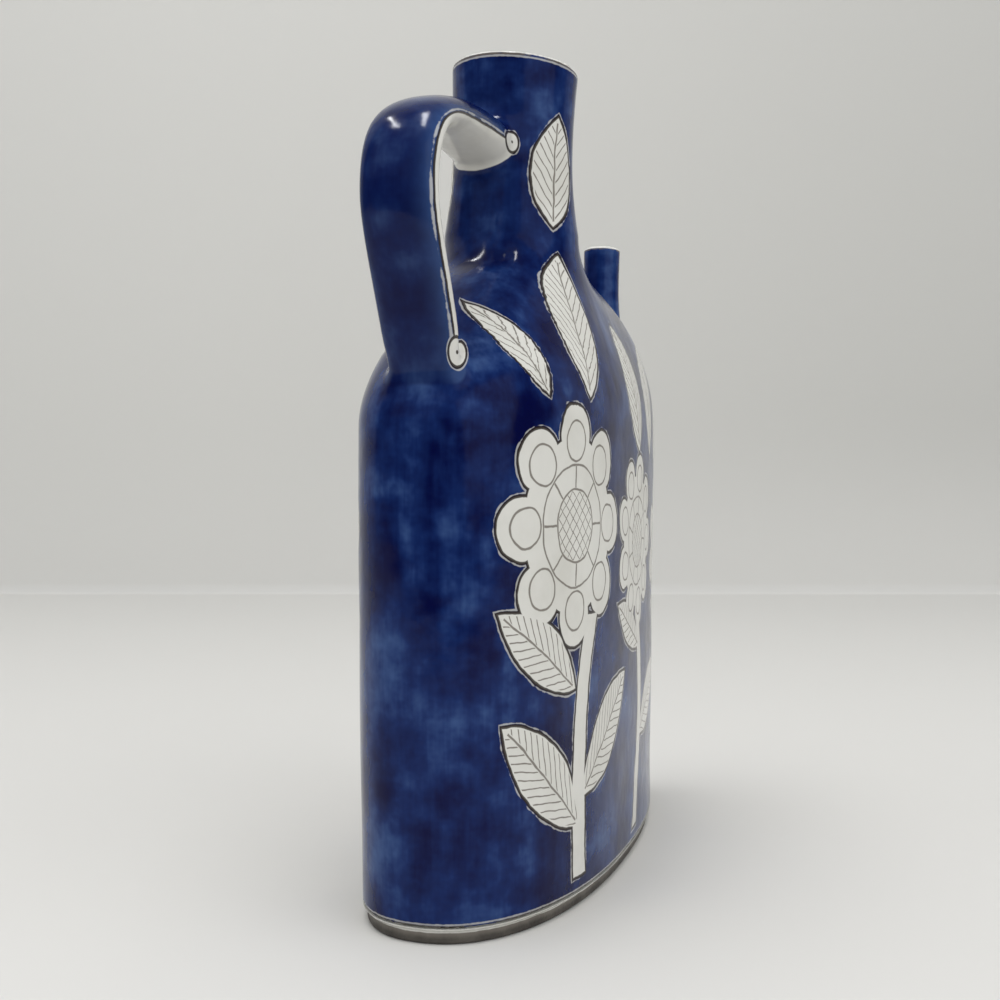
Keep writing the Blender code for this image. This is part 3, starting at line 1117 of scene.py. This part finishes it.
def painted_colour(surface):
    """White glaze with a reserved pattern, dark outlines and brushed cobalt round it."""
    on_back = ramp(surface.side, -MM, MM)
    along = surface.along - on_back * BACK_SHIFT + surface.wobble * HAND_WANDER
    drawing = flowering_stems(xyz(along, surface.up + surface.wobble_up * HAND_WANDER))
    strap_line = surface.strap_line()
    strap_end = ROOT_SPOT_HEIGHT - surface.height / MM
    off_strap = surface.off_strap - 1.4 + surface.wobble_up * 1.2
    strap_white = highest(strap_line, off_strap, strap_end)
    spots = []
    eyes = []
    for middle, sizes in HANDLE_SPOTS:
        spots.append(spot(surface.position, middle, sizes))
        eyes.append(spot(surface.position, middle, [size * SPOT_EYE for size in sizes]))
    handle_spots = lowest(*spots)
    outlined = lowest(highest(drawing.reserve, surface.off_body - NEAR_BODY), handle_spots)
    white = lowest(outlined, strap_white, surface.plain_white())
    edge = abs(outlined) - OUTLINE_HALF_WIDTH + surface.ragged * 0.35
    strap_edge = abs(strap_line) - STRAP_LINE_HALF_WIDTH + surface.ragged * 0.2
    strap_edge = highest(strap_edge, surface.off_strap - NEAR_STRAP, -handle_spots, strap_end)
    dark = lowest(edge, strap_edge, *eyes)
    halo = surface.halo(outlined, strap_line, strap_end)
    fine = highest(drawing.lines + surface.ragged * 0.35, outlined + 0.3)
    fine = highest(fine, surface.off_body - NEAR_BODY)
    pale = white_glaze(surface.position)
    colour = mixed(surface.on_strap() * STRAP_DEEPER, cobalt(surface.position), COBALT_DEEP)
    colour = mixed(surface.thin_beside(strap_line), colour, COBALT_THIN)
    colour = mixed(brushed(halo, HALO_STRENGTH), colour, pale)
    colour = mixed(brushed(white, 1.0), colour, pale)
    colour = mixed(brushed(fine, FINE_LINE_STRENGTH), colour, FINE_LINE)
    colour = mixed(brushed(surface.rim_lines(), RIM_LINE_STRENGTH), colour, RIM_LINE)
    return mixed(brushed(dark, OUTLINE_STRENGTH), colour, OUTLINE)


def new_material(name):
    """A material whose node tree the node functions work in, and its shader."""
    mat = bpy.data.materials.new(name)
    mat.use_nodes = True
    Value.tree = mat.node_tree
    return mat, mat.node_tree.nodes["Principled BSDF"]


def bumped(shader, height, strength, depth):
    bump = new_node("Bump")
    bump.inputs["Strength"].default_value = strength
    bump.inputs["Distance"].default_value = depth
    feed(bump.inputs["Height"], height)
    feed(shader.inputs["Normal"], Value(bump.outputs[0]))


def painted_glaze():
    """The painted surface under a clear glaze that is a little rippled and uneven in gloss."""
    mat, shader = new_material("painted_glaze")
    surface = Surface()
    position = surface.position
    feed(shader.inputs["Base Color"], painted_colour(surface))
    gloss = ramp(noise_value(position, 120.0, 3.0), -0.4, 0.4) * 0.10 + GLAZE_ROUGHNESS
    feed(shader.inputs["Roughness"], gloss)
    shader.inputs["Specular IOR Level"].default_value = GLAZE_SPECULAR
    ripples = noise_value(position, 55.0, 2.0) + noise_value(position, 210.0, 2.0) * 0.12
    bumped(shader, ripples, GLAZE_BUMP, GLAZE_BUMP_DEPTH)
    return mat


def bare_clay():
    """The foot: dark, dull, stained clay, paler where the glaze above it thins out."""
    mat, shader = new_material("bare_clay")
    position = Value(new_node("TexCoord").outputs["Object"])
    stains = noise_value(position, 70.0, 4.0, 0.6)
    grain = noise_value(position, 900.0, 3.0)
    colour = mixed(ramp(stains, -0.15, 0.25), FOOT_STAIN, FOOT_CLAY)
    height = split(position)[2] / MM
    glaze_edge = BASE_CLAY_HEIGHT / MM
    thin_glaze = ramp(height + stains * 1.5, glaze_edge - THIN_GLAZE_BAND, glaze_edge)
    colour = mixed(thin_glaze * THIN_GLAZE_STRENGTH, colour, FOOT_PALE)
    glazed = ramp(height + stains * 1.2, glaze_edge - 0.2, glaze_edge + 0.3)
    colour = mixed(glazed, colour, white_glaze(position))
    roughness = ramp(grain, -0.4, 0.4) * 0.2 + CLAY_ROUGHNESS - glazed * 0.4
    feed(shader.inputs["Base Color"], colour)
    feed(shader.inputs["Roughness"], roughness)
    bumped(shader, grain, CLAY_BUMP, CLAY_BUMP_DEPTH)
    return mat


# Room
ROOM_LIGHT = 0.84
ROOM_LIGHT_IN_GLAZE = 0.08
WALL_AWAY = 1.22
ROOM_HALF_WIDTH = 4.0
ROOM_BEFORE = 4.0
ROOM_HEIGHT = 4.0
COVE_RADIUS = 0.014
FLOOR_IN_GLAZE = 0.75
FLOOR_COLOUR = (0.660, 0.648, 0.620)
# Painted shade: the floor's colour towards the wall, darker than near the camera
FLOOR_FAR_SHADED_COLOUR = (0.605, 0.596, 0.568)
WALL_COLOUR = (0.578, 0.570, 0.540)
# Painted shade: the wall's colour on its right, darker than on its left
WALL_RIGHT_SHADED_COLOUR = (0.492, 0.486, 0.459)
WALL_FOOT_HEIGHT = 0.25
# Painted shade in the cove, which faces the lamps more than the floor or the wall and would
# otherwise show as a light band
COVE_PAINTED_SHADE = 0.10
ROOM_ROUGHNESS = 0.7


def room():
    """A pale floor that curves up into a pale wall, square to the camera's heading."""
    profile = [(-FLOOR_IN_GLAZE, 0.0), (WALL_AWAY - COVE_RADIUS, 0.0)]
    for angle in np.linspace(0, math.pi / 2, 17)[1:]:
        out = WALL_AWAY - COVE_RADIUS + COVE_RADIUS * math.sin(angle)
        profile.append((out, COVE_RADIUS * (1 - math.cos(angle))))
    profile.append((WALL_AWAY, ROOM_HEIGHT))
    paint = room_paint_and_shade()
    room_sheet("room", profile, paint)
    near = room_sheet("room_near", [(-ROOM_BEFORE, 0.0), (-FLOOR_IN_GLAZE, 0.0)], paint)
    near.visible_glossy = False


def room_sheet(name, profile, paint):
    """A smooth sheet along a profile of distances and heights, as wide as the room."""
    along = np.array(LEVEL_WAY)
    across = np.array((-along[1], along[0], 0.0))
    left = [along * out - across * ROOM_HALF_WIDTH + (0, 0, height) for out, height in profile]
    right = [along * out + across * ROOM_HALF_WIDTH + (0, 0, height) for out, height in profile]
    count = len(profile)
    faces = [(i, i + 1, count + i + 1, count + i) for i in range(count - 1)]
    mesh = bpy.data.meshes.new(name)
    mesh.from_pydata([tuple(p) for p in left + right], [], [face[::-1] for face in faces])
    mesh.shade_smooth()
    mesh.materials.append(paint)
    obj = in_scene(name, mesh)
    return obj


def room_paint_and_shade():
    """A pale floor and wall with painted shade: darker towards the wall, on the wall's right and in
    the cove.
    """
    mat, shader = new_material("room_paint_and_shade")
    position = Value(new_node("TexCoord").outputs["Object"])
    x, y, height = split(position)
    along = x * LEVEL_WAY[0] + y * LEVEL_WAY[1]
    # Painted shade: the floor darkens towards the wall
    floor = mixed(ramp(along, -0.2, WALL_AWAY), FLOOR_COLOUR, FLOOR_FAR_SHADED_COLOUR)
    # Painted shade: the wall darkens towards its right
    aside = y * LEVEL_WAY[0] - x * LEVEL_WAY[1]
    wall = mixed(ramp(aside, -0.8, 0.5), WALL_RIGHT_SHADED_COLOUR, WALL_COLOUR)
    colour = mixed(ramp(height, 0.0, WALL_FOOT_HEIGHT), floor, wall)
    # Painted shade: a darker band in the cove between floor and wall
    share = height / COVE_RADIUS
    cove_shade_share = ramp(share, 0.0, 0.25) - ramp(share, 0.4, 1.1)
    colour = mixed(cove_shade_share * COVE_PAINTED_SHADE, colour, (0.0, 0.0, 0.0))
    feed(shader.inputs["Base Color"], colour)
    shader.inputs["Roughness"].default_value = ROOM_ROUGHNESS
    return mat


def lamp(name, place, aim, size, power, upright=(0.0, 0.0, 1.0)):
    """A soft rectangular lamp: its size is across and along the upright way."""
    light = bpy.data.lights.new(name, "AREA")
    light.shape = "RECTANGLE"
    light.size, light.size_y = size
    light.energy = power
    obj = in_scene(name, light)
    back = (Vector(place) - Vector(aim)).normalized()
    across = Vector(upright).cross(back).normalized()
    turned = Matrix((across, back.cross(across), back)).transposed().to_4x4()
    obj.matrix_world = Matrix.Translation(place) @ turned
    return obj


def lights():
    world = bpy.data.worlds.new("room_light")
    world.use_nodes = True
    background = world.node_tree.nodes["Background"]
    background.inputs["Color"].default_value = (0.95, 0.97, 1.0, 1.0)
    Value.tree = world.node_tree
    in_glaze = Value(new_node("LightPath").outputs["Is Glossy Ray"])
    feed(background.inputs["Strength"], ROOM_LIGHT - in_glaze * (ROOM_LIGHT - ROOM_LIGHT_IN_GLAZE))
    bpy.context.scene.world = world
    middle = (0.0, 0.0, 0.16)
    lamp("soft_key", (-1.5, 0.9, 1.9), middle, (2.4, 2.4), 3.0)
    lamp("soft_fill", (-0.9, -2.3, 1.4), middle, (3.0, 3.0), 17.0)
    overhead = (-0.223, 0.05, 2.15)
    windows = (
        lamp("window_a", (-0.126, 0.90, 1.94), middle, (0.045, 0.85), 6.5, LEVEL_WAY),
        lamp("window_b", overhead, middle, (0.22, 0.85), 17.0, LEVEL_WAY),
    )
    for window in windows:
        window.visible_diffuse = False
    lamp("soft_top", overhead, middle, (1.7, 1.7), 23.0, LEVEL_WAY).visible_glossy = False


def photograph_view():
    camera = bpy.data.cameras.new("camera")
    camera.lens = CAMERA_LENS
    camera.sensor_width = SENSOR_WIDTH
    camera.sensor_fit = "HORIZONTAL"
    camera.clip_start = 0.01
    obj = in_scene("camera", camera)
    obj.location = CAMERA_PLACE
    way = Vector(LEVEL_WAY) * math.cos(CAMERA_DIP) - Vector((0, 0, math.sin(CAMERA_DIP)))
    obj.rotation_euler = way.to_track_quat("-Z", "Y").to_euler()
    bpy.context.scene.camera = obj


def main():
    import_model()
    bpy.context.scene.view_settings.view_transform = "Standard"
    photograph_view()
    lights()
    room()
    glaze = painted_glaze()
    for node, piece in glazed_pieces().items():
        piece.data.materials.append(glaze)
        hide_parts(node)
        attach(piece, "root")
    slab = foot_slab()
    slab.data.materials.append(bare_clay())
    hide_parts("base_slab")
    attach(slab, "root")


main()
